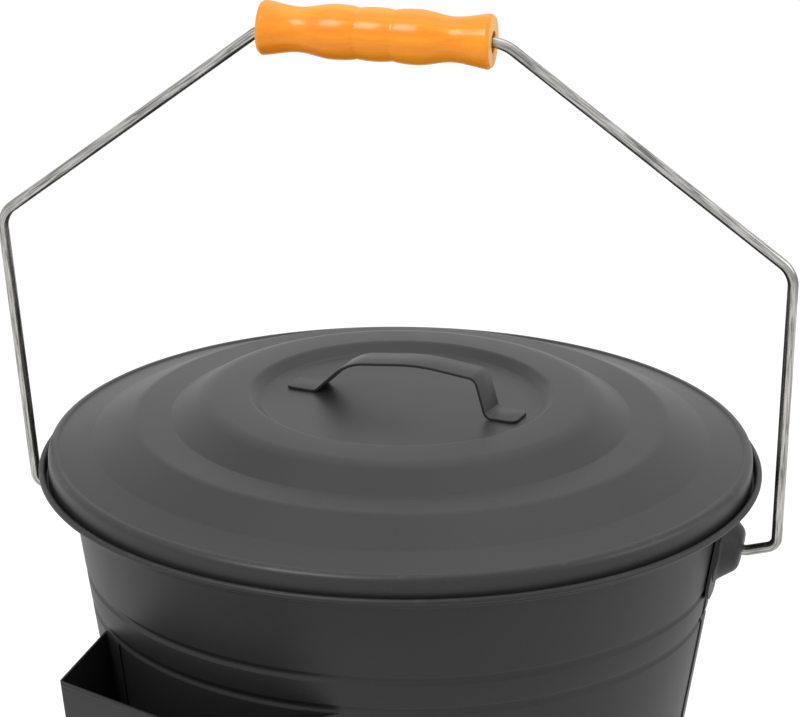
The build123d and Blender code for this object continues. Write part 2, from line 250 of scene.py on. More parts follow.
class NodeBoard:
    """Adds and joins the nodes of one tree."""

    def __init__(self, tree: bpy.types.NodeTree) -> None:
        """Starts on a tree."""
        self.tree = tree

    def add(
        self, kind: str, inputs: dict[Any, Any] | None = None, **settings: Any
    ) -> bpy.types.Node:
        """Adds a node.

        Args:
            kind: Its type.
            inputs: For each input, by name or number, a value or the socket that feeds it.
            **settings: Its other settings.

        Returns:
            The node.
        """
        node = self.tree.nodes.new(kind)
        for key, value in settings.items():
            setattr(node, key, value)
        for key, value in (inputs or {}).items():
            if isinstance(value, bpy.types.NodeSocket):
                self.tree.links.new(value, node.inputs[key])
            else:
                node.inputs[key].default_value = value
        return node

    def math(self, operation: str, *terms: Any) -> bpy.types.NodeSocket:
        """Works out one sum of values or sockets."""
        return self.add("ShaderNodeMath", dict(enumerate(terms)), operation=operation).outputs[0]

    def noise(
        self, vector: Any, scale: Any, detail: float, rough: float = 0.5
    ) -> bpy.types.NodeSocket:
        """Adds a noise pattern.

        Args:
            vector: The coordinates it lies on.
            scale: Its repeats for each metre, a value or a socket.
            detail: How many finer layers it has.
            rough: How strong the finer layers are.

        Returns:
            The pattern, from 0 to 1.
        """
        settings = {"Vector": vector, "Scale": scale, "Detail": detail, "Roughness": rough}
        return self.add("ShaderNodeTexNoise", settings).outputs[0]

    def spread(
        self, value: Any, low: Any, high: Any, to_low: Any = 0.0, to_high: Any = 1.0
    ) -> bpy.types.NodeSocket:
        """Maps a range of values smoothly to another, and stops at its ends.

        Args:
            value: What is mapped.
            low: The value that becomes to_low.
            high: The value that becomes to_high.
            to_low: The first end of the new range.
            to_high: The other end of the new range.

        Returns:
            The mapped value.
        """
        ends = {"From Min": low, "From Max": high, "To Min": to_low, "To Max": to_high}
        settings = {"Value": value, **ends}
        return self.add("ShaderNodeMapRange", settings, interpolation_type="SMOOTHSTEP").outputs[0]

    def tint(self, share: Any, first: Any, second: Any) -> bpy.types.NodeSocket:
        """Mixes two colours by a share."""
        node = self.add("ShaderNodeMix", {0: share, 6: first, 7: second}, data_type="RGBA")
        return node.outputs[2]

    def bump(self, height: Any, depth: float, strength: float) -> bpy.types.NodeSocket:
        """Turns a height pattern into a normal."""
        settings = {"Strength": strength, "Distance": depth, "Height": height}
        return self.add("ShaderNodeBump", settings).outputs[0]


def opaque(colour: Colour) -> tuple[float, float, float, float]:
    """Adds full cover to a colour."""
    return (*colour, 1.0)


def new_group(
    name: str, inputs: Sequence[tuple[str, str]], outputs: Sequence[str]
) -> bpy.types.NodeTree:
    """Makes an empty node group with named sockets.

    Args:
        name: The group's name.
        inputs: Name and socket type of each input.
        outputs: Name of each output, which are all single values.

    Returns:
        The group, with its two end nodes in place.
    """
    group = bpy.data.node_groups.new(name, "ShaderNodeTree")
    for label, kind in inputs:
        group.interface.new_socket(name=label, in_out="INPUT", socket_type=kind)
    for label in outputs:
        group.interface.new_socket(name=label, in_out="OUTPUT", socket_type="NodeSocketFloat")
    group.nodes.new("NodeGroupInput")
    group.nodes.new("NodeGroupOutput")
    return group


@dataclass(frozen=True)
class CoatTexture:
    """The skin of a powder coat: fine orange peel, broad clouds and small specks."""

    name: str = "coat_texture"
    peel_detail: float = 2.0
    broad_scale_share: float = 0.3
    broad_share: float = 0.35
    cloud_scale: float = 9.0
    cloud_detail: float = 4.0
    cloud_rough: float = 0.6
    speck_scale: float = 900.0
    speck_detail: float = 1.0
    speck_low: float = 0.70
    speck_high: float = 0.80

    def build(self) -> bpy.types.NodeTree:
        """Builds the group: Vector and Grain go in, Height, Clouds and Specks come out."""
        sockets = [("Vector", "NodeSocketVector"), ("Grain", "NodeSocketFloat")]
        group = new_group(self.name, sockets, ["Height", "Clouds", "Specks"])
        board = NodeBoard(group)
        source = group.nodes["Group Input"].outputs
        sink = group.nodes["Group Output"].inputs
        place = source["Vector"]
        fine = board.noise(place, source["Grain"], self.peel_detail)
        broad_scale = board.math("MULTIPLY", source["Grain"], self.broad_scale_share)
        broad = board.noise(place, broad_scale, self.peel_detail)
        height = board.math("MULTIPLY_ADD", broad, self.broad_share, fine)
        clouds = board.noise(place, self.cloud_scale, self.cloud_detail, self.cloud_rough)
        dots = board.noise(place, self.speck_scale, self.speck_detail)
        specks = board.spread(dots, self.speck_low, self.speck_high)
        for label, value in (("Height", height), ("Clouds", clouds), ("Specks", specks)):
            group.links.new(value, sink[label])
        return group


@dataclass(frozen=True)
class RingGlintAndRub:
    """A thin broken line on a round edge, pale in the base colour: painted glints where light
    catches the edge, together with rubbed coat.
    """

    name: str = "ring_glint_and_rub"
    break_scale: float = 140.0
    break_detail: float = 6.0
    break_rough: float = 0.7
    break_low: float = 0.52
    break_high: float = 0.72

    def build(self) -> bpy.types.NodeTree:
        """Builds the group: Vector, Radius, Height and Width go in, Mask comes out."""
        sockets = [("Vector", "NodeSocketVector")]
        sockets += [(label, "NodeSocketFloat") for label in ("Radius", "Height", "Width")]
        group = new_group(self.name, sockets, ["Mask"])
        board = NodeBoard(group)
        source = group.nodes["Group Input"].outputs
        split = board.add("ShaderNodeSeparateXYZ", {0: source["Vector"]}).outputs
        across = board.math("MULTIPLY", split["X"], split["X"])
        radius = board.math("SQRT", board.math("MULTIPLY_ADD", split["Y"], split["Y"], across))
        off_radius = board.math("ABSOLUTE", board.math("SUBTRACT", radius, source["Radius"]))
        off_height = board.math("ABSOLUTE", board.math("SUBTRACT", split["Z"], source["Height"]))
        off = board.math("MAXIMUM", off_radius, off_height)
        line = board.spread(off, source["Width"], 0.0)
        breaks = board.noise(
            source["Vector"], self.break_scale, self.break_detail, self.break_rough
        )
        gaps = board.spread(breaks, self.break_low, self.break_high)
        # The ring's mask carries painted glints along the round edge, together with rubbed coat.
        mask = board.math("MULTIPLY", line, gaps)
        group.links.new(mask, group.nodes["Group Output"].inputs["Mask"])
        return group


@dataclass(frozen=True)
class PowderCoat:
    """Matt powder coat on sheet steel, with a pale line along one round edge that paints glints
    there, together with rubbed coat.
    """

    name: str
    colour: Colour
    speck_and_glint_colour: Colour
    glint_rub_radius: float
    glint_rub_height: float
    glint_rub_width: float
    glint_rub_share: float
    grain: float = 700.0
    peel_depth: float = 0.02 * MM
    peel_strength: float = 0.6
    roughness: float = 0.5
    gloss_spread: float = 0.03
    sheen_level: float = 0.36
    cloud_share: float = 0.12
    cloud_low: float = 0.3
    cloud_high: float = 0.7
    speck_share: float = 0.08

    def build(self, texture: bpy.types.NodeTree, glint_group: bpy.types.NodeTree) -> bpy.types.Material:
        """Builds the material.

        Args:
            texture: The coat's skin, as CoatTexture builds it.
            glint_group: The pale line on the round edge, painted glints together with rubbed coat,
                as RingGlintAndRub builds it.

        Returns:
            The material.
        """
        material, board, shader = start_material(self.name)
        place = board.add("ShaderNodeTexCoord").outputs["Object"]
        skin = board.add("ShaderNodeGroup", node_tree=texture)
        skin.inputs["Grain"].default_value = self.grain
        board.tree.links.new(place, skin.inputs["Vector"])
        ring = board.add("ShaderNodeGroup", node_tree=glint_group)
        board.tree.links.new(place, ring.inputs["Vector"])
        ring.inputs["Radius"].default_value = self.glint_rub_radius
        ring.inputs["Height"].default_value = self.glint_rub_height
        ring.inputs["Width"].default_value = self.glint_rub_width
        pale = tuple(part * (1 + self.cloud_share) for part in self.colour)
        deep = tuple(part * (1 - self.cloud_share) for part in self.colour)
        coat = board.tint(skin.outputs["Clouds"], opaque(deep), opaque(pale))
        dusted = board.math("MULTIPLY", skin.outputs["Specks"], self.speck_share)
        coat = board.tint(dusted, coat, opaque(self.speck_and_glint_colour))
        # Painted glints: the pale line on the round edge goes into the base colour, together with
        # rubbed coat.
        glint_rub_mix = board.math("MULTIPLY", ring.outputs["Mask"], self.glint_rub_share)
        coat = board.tint(glint_rub_mix, coat, opaque(self.speck_and_glint_colour))
        board.tree.links.new(coat, shader.inputs["Base Color"])
        gloss = board.spread(
            skin.outputs["Clouds"],
            self.cloud_low,
            self.cloud_high,
            self.roughness - self.gloss_spread,
            self.roughness + self.gloss_spread,
        )
        board.tree.links.new(gloss, shader.inputs["Roughness"])
        normal = board.bump(skin.outputs["Height"], self.peel_depth, self.peel_strength)
        board.tree.links.new(normal, shader.inputs["Normal"])
        shader.inputs["Specular IOR Level"].default_value = self.sheen_level
        return material


@dataclass(frozen=True)
class DrawnWire:
    """Satin steel wire with fine marks along its length."""

    name: str
    colour: Colour
    dull_colour: Colour
    roughness: float
    grain_attribute: str = ""
    streak_scale: float = 1.0
    streak_detail: float = 5.0
    streak_rough: float = 0.65
    streak_low: float = 0.35
    streak_high: float = 0.6
    streak_depth: float = 0.03 * MM
    streak_strength: float = 0.35
    stain_scale: float = 45.0
    stain_detail: float = 4.0
    stain_low: float = 0.45
    stain_high: float = 0.75
    stain_share: float = 0.5
    gloss_low: float = 0.3
    gloss_high: float = 0.7
    gloss_spread: float = 0.07

    def build(self) -> bpy.types.Material:
        """Builds the material."""
        material, board, shader = start_material(self.name)
        place = board.add("ShaderNodeTexCoord").outputs["Object"]
        grain = place
        if self.grain_attribute:
            noted = board.add("ShaderNodeAttribute", attribute_name=self.grain_attribute)
            grain = noted.outputs["Vector"]
        bright, dull = opaque(self.colour), opaque(self.dull_colour)
        streaks = board.noise(grain, self.streak_scale, self.streak_detail, self.streak_rough)
        stains = board.noise(place, self.stain_scale, self.stain_detail)
        steel = board.tint(board.spread(streaks, self.streak_low, self.streak_high), dull, bright)
        stained = board.spread(stains, self.stain_low, self.stain_high)
        steel = board.tint(board.math("MULTIPLY", stained, self.stain_share), steel, dull)
        board.tree.links.new(steel, shader.inputs["Base Color"])
        gloss = board.spread(
            streaks,
            self.gloss_low,
            self.gloss_high,
            self.roughness - self.gloss_spread,
            self.roughness + self.gloss_spread,
        )
        board.tree.links.new(gloss, shader.inputs["Roughness"])
        normal = board.bump(streaks, self.streak_depth, self.streak_strength)
        board.tree.links.new(normal, shader.inputs["Normal"])
        shader.inputs["Metallic"].default_value = 1.0
        return material


@dataclass(frozen=True)
class LacqueredWood:
    """Turned hardwood under orange-brown lacquer, with bare end grain."""

    name: str
    pale: Colour
    deep: Colour
    pore: Colour
    end_grain: Colour
    half_length: float
    middle_x: float
    bands_along: float = 14.0
    bands_across: float = 260.0
    band_detail: float = 4.0
    band_rough: float = 0.55
    band_low: float = 0.3
    band_high: float = 0.7
    pores_along: float = 55.0
    pores_across: float = 1500.0
    pore_detail: float = 2.0
    pore_low: float = 0.56
    pore_high: float = 0.72
    pore_share: float = 0.2
    pore_depth: float = 0.05 * MM
    pore_strength: float = 0.35
    end_from: float = 0.35 * MM
    end_to: float = 0.1 * MM
    lacquer: float = 0.5
    end_lacquer_share: float = 0.3
    lacquer_roughness: float = 0.2
    smooth_roughness: float = 0.44
    open_roughness: float = 0.6
    open_low: float = 0.3
    open_high: float = 0.8
    sheen_level: float = 0.15

    def stretched(
        self, board: NodeBoard, place: Any, along: float, across: float
    ) -> bpy.types.NodeSocket:
        """Scales coordinates so that a pattern on them runs along the grip.

        Args:
            board: Where the node goes.
            place: The coordinates.
            along: Repeats for each metre along the grip.
            across: Repeats for each metre across it.

        Returns:
            The scaled coordinates.
        """
        settings = {"Vector": place, "Scale": (along, across, across)}
        return board.add("ShaderNodeMapping", settings).outputs[0]

    def build(self) -> bpy.types.Material:
        """Builds the material."""
        material, board, shader = start_material(self.name)
        place = board.add("ShaderNodeTexCoord").outputs["Object"]
        wide = self.stretched(board, place, self.bands_along, self.bands_across)
        bands = board.noise(wide, 1.0, self.band_detail, self.band_rough)
        thin = self.stretched(board, place, self.pores_along, self.pores_across)
        pores = board.noise(thin, 1.0, self.pore_detail)
        banded = board.spread(bands, self.band_low, self.band_high)
        wood = board.tint(banded, opaque(self.deep), opaque(self.pale))
        dark = board.spread(pores, self.pore_low, self.pore_high)
        wood = board.tint(board.math("MULTIPLY", dark, self.pore_share), wood, opaque(self.pore))
        along = board.add("ShaderNodeSeparateXYZ", {0: place}).outputs["X"]
        from_middle = board.math("ABSOLUTE", board.math("SUBTRACT", along, self.middle_x))
        starts, ends = self.half_length - self.end_from, self.half_length - self.end_to
        end = board.spread(from_middle, starts, ends)
        wood = board.tint(end, wood, opaque(self.end_grain))
        board.tree.links.new(wood, shader.inputs["Base Color"])
        cover = board.spread(end, 0.0, 1.0, self.lacquer, self.lacquer * self.end_lacquer_share)
        board.tree.links.new(cover, shader.inputs["Coat Weight"])
        rough = board.spread(
            pores, self.open_low, self.open_high, self.smooth_roughness, self.open_roughness
        )
        board.tree.links.new(rough, shader.inputs["Roughness"])
        height = board.math("SUBTRACT", bands, dark)
        normal = board.bump(height, self.pore_depth, self.pore_strength)
        board.tree.links.new(normal, shader.inputs["Normal"])
        shader.inputs["Coat Roughness"].default_value = self.lacquer_roughness
        shader.inputs["Specular IOR Level"].default_value = self.sheen_level
        return material


def start_material(name: str) -> tuple[bpy.types.Material, NodeBoard, bpy.types.Node]:
    """Starts a material with a Principled shader.

    Args:
        name: The material's name.

    Returns:
        The material, a board on its tree, and the shader.
    """
    material = bpy.data.materials.new(name)
    material.use_nodes = True
    return material, NodeBoard(material.node_tree), material.node_tree.nodes["Principled BSDF"]


@dataclass
class Paints:
    """All finishes of the bucket, built once."""

    body: bpy.types.Material = field(init=False)
    lid: bpy.types.Material = field(init=False)
    bail: bpy.types.Material = field(init=False)
    rim_wire: bpy.types.Material = field(init=False)
    grip: bpy.types.Material = field(init=False)

    def __post_init__(self) -> None:
        """Builds the shared groups and then each material."""
        texture = CoatTexture().build()
        glint_group = RingGlintAndRub().build()
        grip = TurnedGrip()
        self.body = PowderCoat(
            name="anthracite_body_coat",
            colour=(0.016, 0.016, 0.0166),
            speck_and_glint_colour=(0.16, 0.16, 0.16),
            # Painted glint along the top of the rim bead, together with rubbed coat.
            glint_rub_radius=149.0 * MM,
            glint_rub_height=269.6 * MM,
            glint_rub_width=1.2 * MM,
            glint_rub_share=0.15,
            sheen_level=0.34,
        ).build(texture, glint_group)
        self.lid = PowderCoat(
            name="anthracite_lid_coat",
            colour=(0.018, 0.018, 0.0186),
            speck_and_glint_colour=(0.2, 0.2, 0.2),
            # Painted glint along the lid's rounded shoulder, together with rubbed coat.
            glint_rub_radius=144.9 * MM,
            glint_rub_height=277.5 * MM,
            glint_rub_width=1.3 * MM,
            glint_rub_share=0.12,
            roughness=0.42,
            sheen_level=0.4,
        ).build(texture, glint_group)
        self.bail = DrawnWire(
            name="satin_bail_steel",
            colour=(0.52, 0.51, 0.485),
            dull_colour=(0.15, 0.147, 0.138),
            roughness=0.25,
            grain_attribute="wire_grain",
        ).build()
        self.rim_wire = DrawnWire(
            name="plain_rim_wire",
            colour=(0.5, 0.5, 0.5),
            dull_colour=(0.3, 0.29, 0.28),
            roughness=0.4,
            streak_scale=300.0,
        ).build()
        self.grip = LacqueredWood(
            name="orange_lacquered_wood",
            pale=(0.98, 0.34, 0.01),
            deep=(0.9, 0.25, 0.006),
            pore=(0.6, 0.15, 0.01),
            end_grain=(0.9, 0.45, 0.12),
            half_length=grip.length / 2,
            middle_x=grip.middle_x,
        ).build()


@dataclass
class BucketBody:
    """The tapered bucket: wall with seat and rolled rim, lap seam, ears and bottom plate."""

    sheet: float = 0.6 * MM
    taper: float = 0.157
    wall_top_radius: float = 137.7 * MM
    bead_height: float = 268.6 * MM
    bead_centre_radius: float = 148.6 * MM
    curl_radius: float = 0.8 * MM
    curl_deg: float = 320.0
    curl_steps: int = 24
    foot_height: float = 0.9 * MM
    seat_under_height: float = 265.4 * MM
    seat_outer_radius: float = 147.6 * MM
    knee_round: float = 2.4 * MM
    seat_round: float = 1.0 * MM
    groove_drops: tuple[float, ...] = (55.0 * MM, 41.0 * MM)
    groove_depth: float = 0.8 * MM
    groove_half_width: float = 2.1 * MM
    groove_half_floor: float = 0.5 * MM
    groove_round: float = 1.2 * MM
    lap_from_deg: float = -2.6
    lap_arc_deg: float = 5.2
    lap_low: float = 5.0 * MM
    lap_high: float = 260.0 * MM
    lap_steps: int = 6
    edge_break: float = 0.12 * MM

    def wall_radius(self, height: float) -> float:
        """Gives the plain wall's outside radius at a height."""
        return self.wall_top_radius - self.taper * (self.bead_height - height)

    def wall_line(self, low: float, high: float) -> tuple[list[Point2], list[float]]:
        """Gives the wall's outside from low to high, with its grooves.

        Args:
            low: Height where it starts.
            high: Height where it ends.

        Returns:
            The points, and the round of each one but the first and the last.
        """
        points = [(self.wall_radius(low), low)]
        for drop in self.groove_drops:
            middle = self.bead_height - drop
            for side, share in ((-1, 0.0), (-1, 1.0), (1, 1.0), (1, 0.0)):
                reach = self.groove_half_floor if share else self.groove_half_width
                height = middle + side * reach
                points.append((self.wall_radius(height) - share * self.groove_depth, height))
        points.append((self.wall_radius(high), high))
        return points, [self.groove_round] * (len(points) - 2)

    def build_wall(self) -> BMesh:
        """Spins the wall with its seat and its rolled rim, and gives it its thickness."""
        bm = bmesh.new()
        points, rounds = self.wall_line(self.foot_height, self.seat_under_height)
        lip = (self.bead_centre_radius - self.curl_radius, self.bead_height)
        points += [(self.seat_outer_radius, self.seat_under_height), lip]
        corners = chain(bm, points)
        bmesh.ops.spin(
            bm,
            geom=[corners[-1]],
            cent=(self.bead_centre_radius, 0, self.bead_height),
            axis=(0, 1, 0),
            dvec=(0, 0, 0),
            angle=math.radians(self.curl_deg),
            steps=self.curl_steps,
            use_merge=False,
            use_normal_flip=False,
            use_duplicate=False,
        )
        round_corners(bm, corners, [*rounds, self.knee_round, self.seat_round])
        spin_outline(bm)
        skirt_outwards(bm)
        bmesh.ops.solidify(bm, geom=bm.faces[:], thickness=self.sheet)
        return bm

    def build_lap(self) -> BMesh:
        """Makes the second sheet of the wall's lap seam, under the right ear."""
        bm = bmesh.new()
        points, rounds = self.wall_line(self.lap_low, self.lap_high)
        round_corners(bm, chain(bm, points), rounds)
        spin_outline(bm, math.radians(self.lap_arc_deg), self.lap_steps)
        skirt_outwards(bm)
        bmesh.ops.solidify(bm, geom=bm.faces[:], thickness=-self.sheet)
        bmesh.ops.recalc_face_normals(bm, faces=bm.faces[:])
        break_edges(bm, self.edge_break)
        start = Matrix.Rotation(math.radians(self.lap_from_deg), 4, "Z")
        bmesh.ops.transform(bm, matrix=start, verts=bm.verts[:])
        return bm

    def dress(self, paints: Paints) -> None:
        """Builds the new pieces of the body and paints the frame's other nodes of it."""
        wall = to_piece(self.build_wall(), "bucket_wall_sheet")
        settle(wall, Body.BUCKET, paints.body, ["bucket_wall"])
        lap = to_piece(self.build_lap(), "wall_lap_seam")
        settle(lap, Body.BUCKET, paints.body, ["bucket_wall"])
        dress_node("rim_wire", paints.rim_wire)
        for name in ("bottom_plate", "ear_right", "ear_left"):
            dress_node(name, paints.body)


@dataclass
class ShovelPocket:
    """The splayed pocket on the front, with its floor."""

    shell_node: str = "pocket_shell"
    floor_node: str = "pocket_floor"

    def dress(self, paints: Paints) -> None:
        """Paints the pocket's nodes."""
        for name in (self.shell_node, self.floor_node):
            dress_node(name, paints.body)


@dataclass
class TurnedGrip:
    """The turned grip: end flares, necks, two lobes and a short middle bead between V grooves."""

    length: float = 93.5 * MM
    lobe_radius: float = 11.0 * MM
    neck_radius: float = 9.0 * MM
    bead_radius: float = 10.7 * MM
    groove_radius: float = 10.15 * MM
    end_radius: float = 10.0 * MM
    bore_radius: float = 4.25 * MM
    groove_x: float = 7.1 * MM
    lobe_x: float = 16.8 * MM
    neck_x: float = 31.0 * MM
    flare_x: float = 45.3 * MM
    bead_end_slope: float = -0.16
    groove_slope: float = 0.25
    flare_slope: float = 0.1
    flare_round: float = 0.48 * MM
    end_round: float = 0.6 * MM
    bore_round: float = 0.5 * MM
    middle_x: float = -2.3 * MM
    curve_steps: int = 12
    lathe_steps: int = 96

    def half_outline(self) -> list[Point2]:
        """Gives each point's radius and distance from the middle, out to the end flare.

        Each knot has its distance, its radius, and the slopes before and after it.
        """
        knots = [
            (0.0, self.bead_radius, 0.0, 0.0),
            (self.groove_x, self.groove_radius, self.bead_end_slope, self.groove_slope),
            (self.lobe_x, self.lobe_radius, 0.0, 0.0),
            (self.neck_x, self.neck_radius, 0.0, 0.0),
            (self.flare_x, self.lobe_radius, self.flare_slope, 0.0),
        ]
        line: list[Point2] = []
        for (x0, r0, _, leave), (x1, r1, arrive, _) in zip(knots, knots[1:]):
            reach = (x1 - x0) / 3
            handles = (r0 + leave * reach, x0 + reach), (r1 - arrive * reach, x1 - reach)
            curve = interpolate_bezier(
                (r0, x0, 0), (*handles[0], 0), (*handles[1], 0), (r1, x1, 0), self.curve_steps
            )
            line += [(p[0], p[1]) for p in curve[:-1]]
        return line

    def build(self, place: Matrix) -> BMesh:
        """Turns the grip about its own axis and puts it on the bail.

        Args:
            place: From the grip's own axis, upright at the origin, to its place in the frame.

        Returns:
            The closed mesh.
        """
        bm = bmesh.new()
        half = self.length / 2
        upper = self.half_outline()
        ends = [
            (self.lobe_radius, self.flare_x),
            (self.end_radius, half),
            (self.bore_radius, half),
            (self.bore_radius, 0.0),
        ]
        corners = chain(bm, [*upper, *ends])
        rounds = [self.flare_round, self.end_round, self.bore_round]
        round_corners(bm, corners, [0.0] * (len(upper) - 1) + rounds)
        half_geom = bm.verts[:] + bm.edges[:]
        bmesh.ops.mirror(
            bm, geom=half_geom, matrix=Matrix(), axis="Z", merge_dist=MERGE_DISTANCE
        )
        spin_outline(bm, steps=self.lathe_steps)
        bmesh.ops.transform(bm, matrix=place, verts=bm.verts[:])
        bmesh.ops.recalc_face_normals(bm, faces=bm.faces[:])
        return bm


@dataclass
class Bail:
    """The bent wire bail with its upset heads, and the turned grip on its top run."""

    pivot_height: float = 243.1 * MM
    lean_deg: float = 10.0
    wire_radius: float = 2.25 * MM
    leg_x: float = 158.1 * MM
    shoulder_x: float = 163.2 * MM
    shoulder_rise: float = 130.8 * MM
    top_x: float = 48.15 * MM
    top_rise: float = 222.7 * MM
    foot_rise: float = 3.5 * MM
    foot_round: float = 5.0 * MM
    bend_x: float = 146.02 * MM
    bend_round: float = 6.0 * MM
    shoulder_round: float = 11.0 * MM
    top_round: float = 14.0 * MM
    head_x: float = 141.82 * MM
    head_thickness: float = 1.8 * MM
    head_radius: float = 4.2 * MM
    head_round: float = 0.4 * MM
    sides: int = 24
    longest_run: float = 12.0 * MM
    streaks_along: float = 60.0
    streaks_around: float = 3.0
    grip: TurnedGrip = field(default_factory=TurnedGrip)

    def centreline(self) -> list[Vector]:
        """Gives the wire's points from the left end to the right end, upright in the XZ plane."""
        end_x = self.head_x - self.head_thickness
        right = [
            (self.top_x, self.top_rise),
            (self.shoulder_x, self.shoulder_rise),
            (self.leg_x, self.foot_rise),
            (self.bend_x, 0.0),
            (end_x, 0.0),
        ]
        left = [(-x, z) for x, z in reversed(right)]
        rounds = [self.top_round, self.shoulder_round, self.foot_round, self.bend_round]
        bm = bmesh.new()
        round_corners(bm, chain(bm, [*left, *right]), [*reversed(rounds), *rounds])
        long_runs = [e for e in bm.edges if e.calc_length() > self.longest_run]
        for edge in long_runs:
            cuts = int(edge.calc_length() / self.longest_run)
            bmesh.ops.subdivide_edges(bm, edges=[edge], cuts=cuts)
        points = self.in_order(bm)
        bm.free()
        return points

    def in_order(self, bm: BMesh) -> list[Vector]:
        """Reads the wire's points from its left end.

        Args:
            bm: The mesh that holds the wire's line.

        Returns:
            The points, from the left end to the right end.
        """
        ends = [v for v in bm.verts if len(v.link_edges) == 1]
        at = min(ends, key=lambda v: v.co.x)
        edge = at.link_edges[0]
        points = [at.co.copy()]
        for _ in range(len(bm.verts) - 1):
            at = edge.other_vert(at)
            points.append(at.co.copy())
            edge = next((e for e in at.link_edges if e is not edge), edge)
        return points

    def stations(self) -> list[tuple[Vector, Vector, float]]:
        """Gives the centre, direction and radius of each ring of the wire and its heads."""
        points = self.centreline()
        ways = [(after - before).normalized() for before, after in zip(points, points[1:])]
        turns = [ways[0], *[(a + b).normalized() for a, b in zip(ways, ways[1:])], ways[-1]]
        wire = [(p, t, self.wire_radius) for p, t in zip(points, turns)]
        first, last = points[0], points[-1]
        back = ways[0] * self.head_thickness
        on = ways[-1] * self.head_thickness
        flat = 1 - self.head_round / self.head_thickness
        left = [
            (first - back, ways[0], self.head_radius - self.head_round),
            (first - back * flat, ways[0], self.head_radius),
            (first, ways[0], self.head_radius),
        ]
        right = [
            (last, ways[-1], self.head_radius),
            (last + on * flat, ways[-1], self.head_radius),
            (last + on, ways[-1], self.head_radius - self.head_round),
        ]
        return [*left, *wire, *right]

    def build_wire(self) -> BMesh:
        """Draws a ring along the bail's line and notes the wire's own coordinates for its grain."""
        bm = bmesh.new()
        grain = bm.verts.layers.float_vector.new("wire_grain")
        ring = bmesh.ops.create_circle(bm, cap_ends=False, segments=self.sides, radius=1.0)["verts"]
        edges = list({e for v in ring for e in v.link_edges})
        before = Matrix()
        run = 0.0
        last_centre = None
        first_edges = edges
        for centre, way, radius in self.stations():
            side = Vector((0, 1, 0))
            axes = Matrix((side.cross(way), side, way)).transposed().to_4x4()
            place = Matrix.Translation(centre) @ axes @ Matrix.Diagonal((radius, radius, 1, 1))
            if last_centre is not None:
                run += (centre - last_centre).length
                made = bmesh.ops.extrude_edge_only(bm, edges=edges)["geom"]
                ring = [g for g in made if isinstance(g, BMVert)]
                fresh = set(ring)
                edges = [g for g in made if isinstance(g, BMEdge) and fresh.issuperset(g.verts)]
            bmesh.ops.transform(bm, matrix=place @ before.inverted(), verts=ring)
            for vert in ring:
                around = (axes.inverted() @ (vert.co - centre).to_4d()).xy.normalized()
                vert[grain] = (*(around * self.streaks_around), run * self.streaks_along)
            before = place
            last_centre = centre
        bmesh.ops.contextual_create(bm, geom=first_edges)
        bmesh.ops.contextual_create(bm, geom=edges)
        bmesh.ops.recalc_face_normals(bm, faces=bm.faces[:])
        bmesh.ops.transform(bm, matrix=self.lean(), verts=bm.verts[:])
        return bm

    def lean(self) -> Matrix:
        """Gives the way from the upright bail at the origin to its rest, leaning to the front."""
        tilt = Matrix.Rotation(math.radians(self.lean_deg), 4, "X")
        return Matrix.Translation((0, 0, self.pivot_height)) @ tilt

    def dress(self, paints: Paints) -> None:
        """Builds the wire and its grip."""
        wire = to_piece(self.build_wire(), "bail_bent_wire")
        settle(wire, Body.BAIL, paints.bail, ["bail_wire"])
        on_top = Matrix.Translation((self.grip.middle_x, 0, self.top_rise))
        lie_down = Matrix.Rotation(math.radians(90), 4, "Y")
        grip = to_piece(self.grip.build(self.lean() @ on_top @ lie_down), "turned_grip")
        settle(grip, Body.GRIP, paints.grip, ["bail_grip"])


